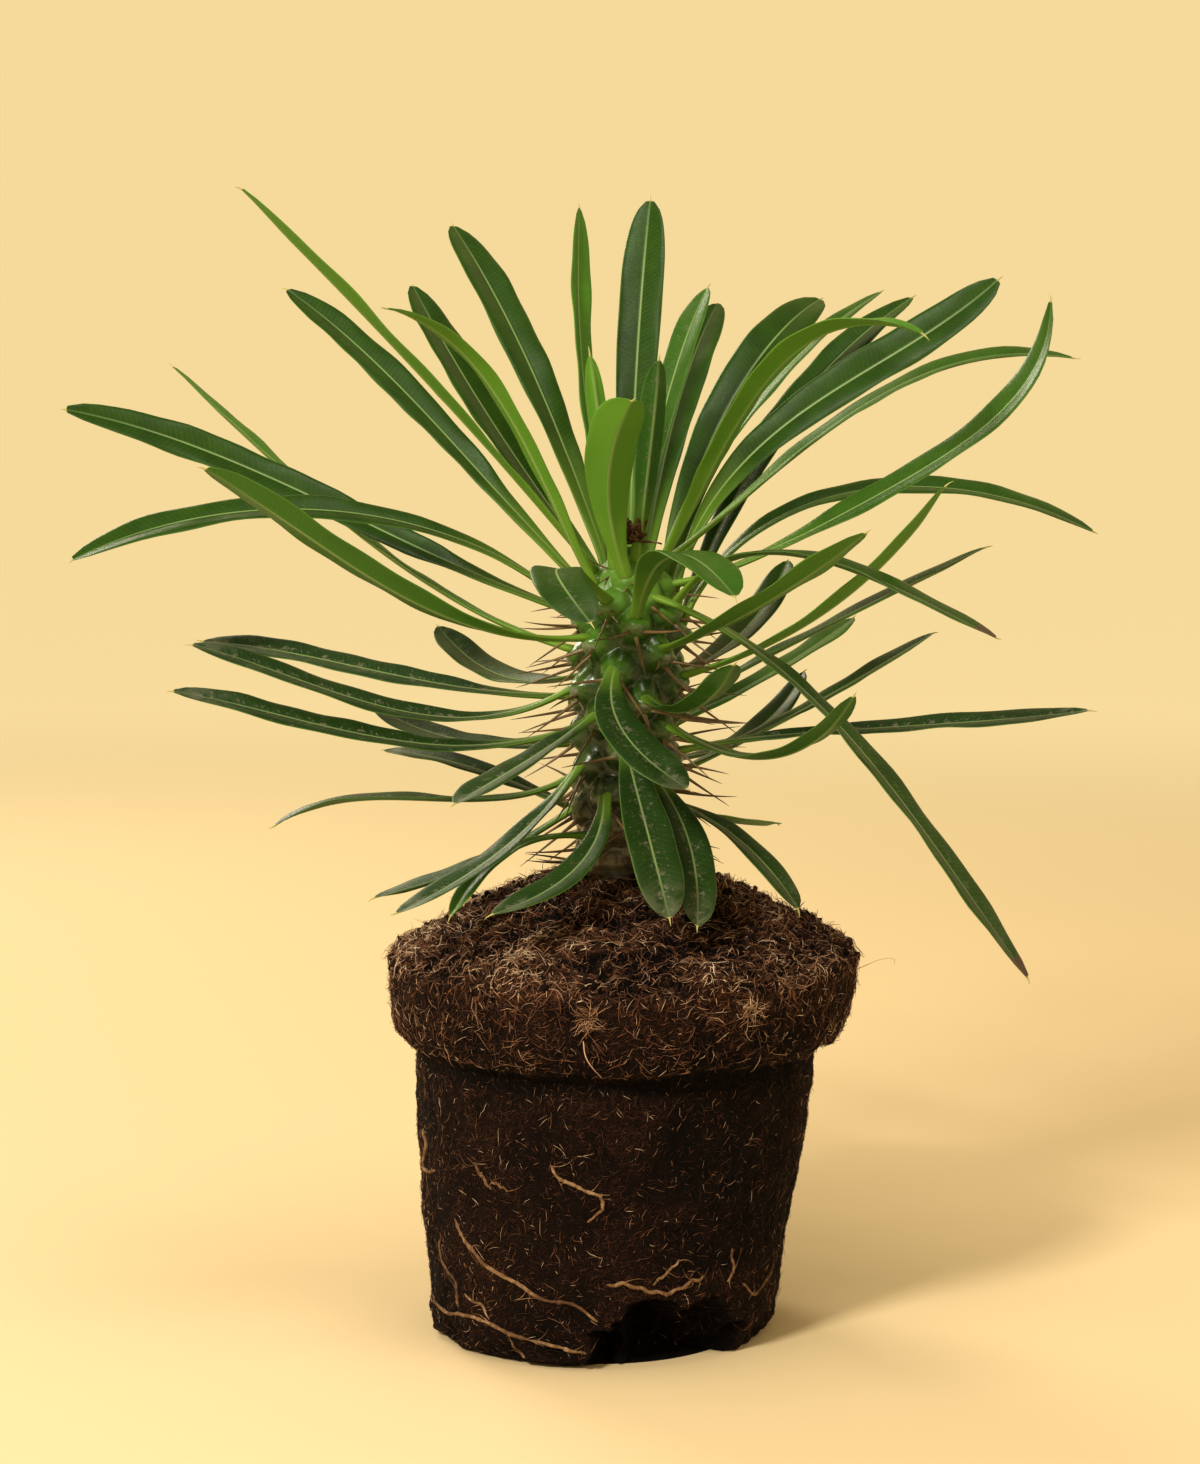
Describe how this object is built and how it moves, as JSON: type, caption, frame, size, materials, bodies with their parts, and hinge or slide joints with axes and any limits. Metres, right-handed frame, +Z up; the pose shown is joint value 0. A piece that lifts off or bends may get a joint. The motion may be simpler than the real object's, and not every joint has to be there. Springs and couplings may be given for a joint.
{
  "type": "madagascar palm with bare root ball",
  "caption": "Young madagascar palm: spiny green stem with a rosette of strap leaves, on a bare coir root ball that keeps the shape of its nursery pot.",
  "frame": {"origin": "centre of the root ball's flat base, on the surface it stands on", "axes": "+Z up along the stem, -Y towards the front of the plant as pictured, +X to its right"},
  "size_m": [0.2638, 0.1732, 0.2924],
  "materials": {
    "coir_soil": "dry matted coir and peat with pale root fibres, fully matt",
    "green_stem": "waxy green bark with silver patches and red-brown spines, half gloss",
    "leaf_blade": "leathery dark green leaf with a pale midrib, soft gloss",
    "dried_tuft": "crumpled dry brown scales, matt"
  },
  "bodies": {
    "root": {"root_ball": "coir_soil", "stem": "green_stem", "crown_tuft": "dried_tuft", "leaf_01": "leaf_blade", "leaf_02": "leaf_blade", "leaf_03": "leaf_blade", "leaf_04": "leaf_blade", "leaf_05": "leaf_blade", "leaf_06": "leaf_blade", "leaf_07": "leaf_blade", "leaf_08": "leaf_blade", "leaf_09": "leaf_blade", "leaf_10": "leaf_blade", "leaf_11": "leaf_blade", "leaf_12": "leaf_blade", "leaf_13": "leaf_blade", "leaf_14": "leaf_blade", "leaf_15": "leaf_blade", "leaf_16": "leaf_blade", "leaf_17": "leaf_blade", "leaf_18": "leaf_blade", "leaf_19": "leaf_blade", "leaf_20": "leaf_blade", "leaf_21": "leaf_blade", "leaf_22": "leaf_blade", "leaf_23": "leaf_blade", "leaf_24": "leaf_blade", "leaf_25": "leaf_blade", "leaf_26": "leaf_blade", "leaf_28": "leaf_blade", "leaf_29": "leaf_blade", "leaf_30": "leaf_blade", "leaf_31": "leaf_blade", "leaf_32": "leaf_blade", "leaf_33": "leaf_blade", "leaf_34": "leaf_blade", "leaf_35": "leaf_blade", "leaf_36": "leaf_blade", "leaf_37": "leaf_blade", "leaf_38": "leaf_blade", "leaf_39": "leaf_blade", "leaf_41": "leaf_blade", "leaf_42": "leaf_blade", "leaf_43": "leaf_blade", "leaf_44": "leaf_blade", "leaf_45": "leaf_blade", "leaf_46": "leaf_blade", "leaf_47": "leaf_blade", "leaf_48": "leaf_blade", "leaf_49": "leaf_blade", "leaf_50": "leaf_blade", "leaf_51": "leaf_blade", "leaf_52": "leaf_blade", "leaf_54": "leaf_blade", "leaf_55": "leaf_blade", "leaf_56": "leaf_blade", "leaf_58": "leaf_blade", "leaf_60": "leaf_blade", "leaf_27": "leaf_blade", "leaf_40": "leaf_blade"}
  },
  "joints": []
}
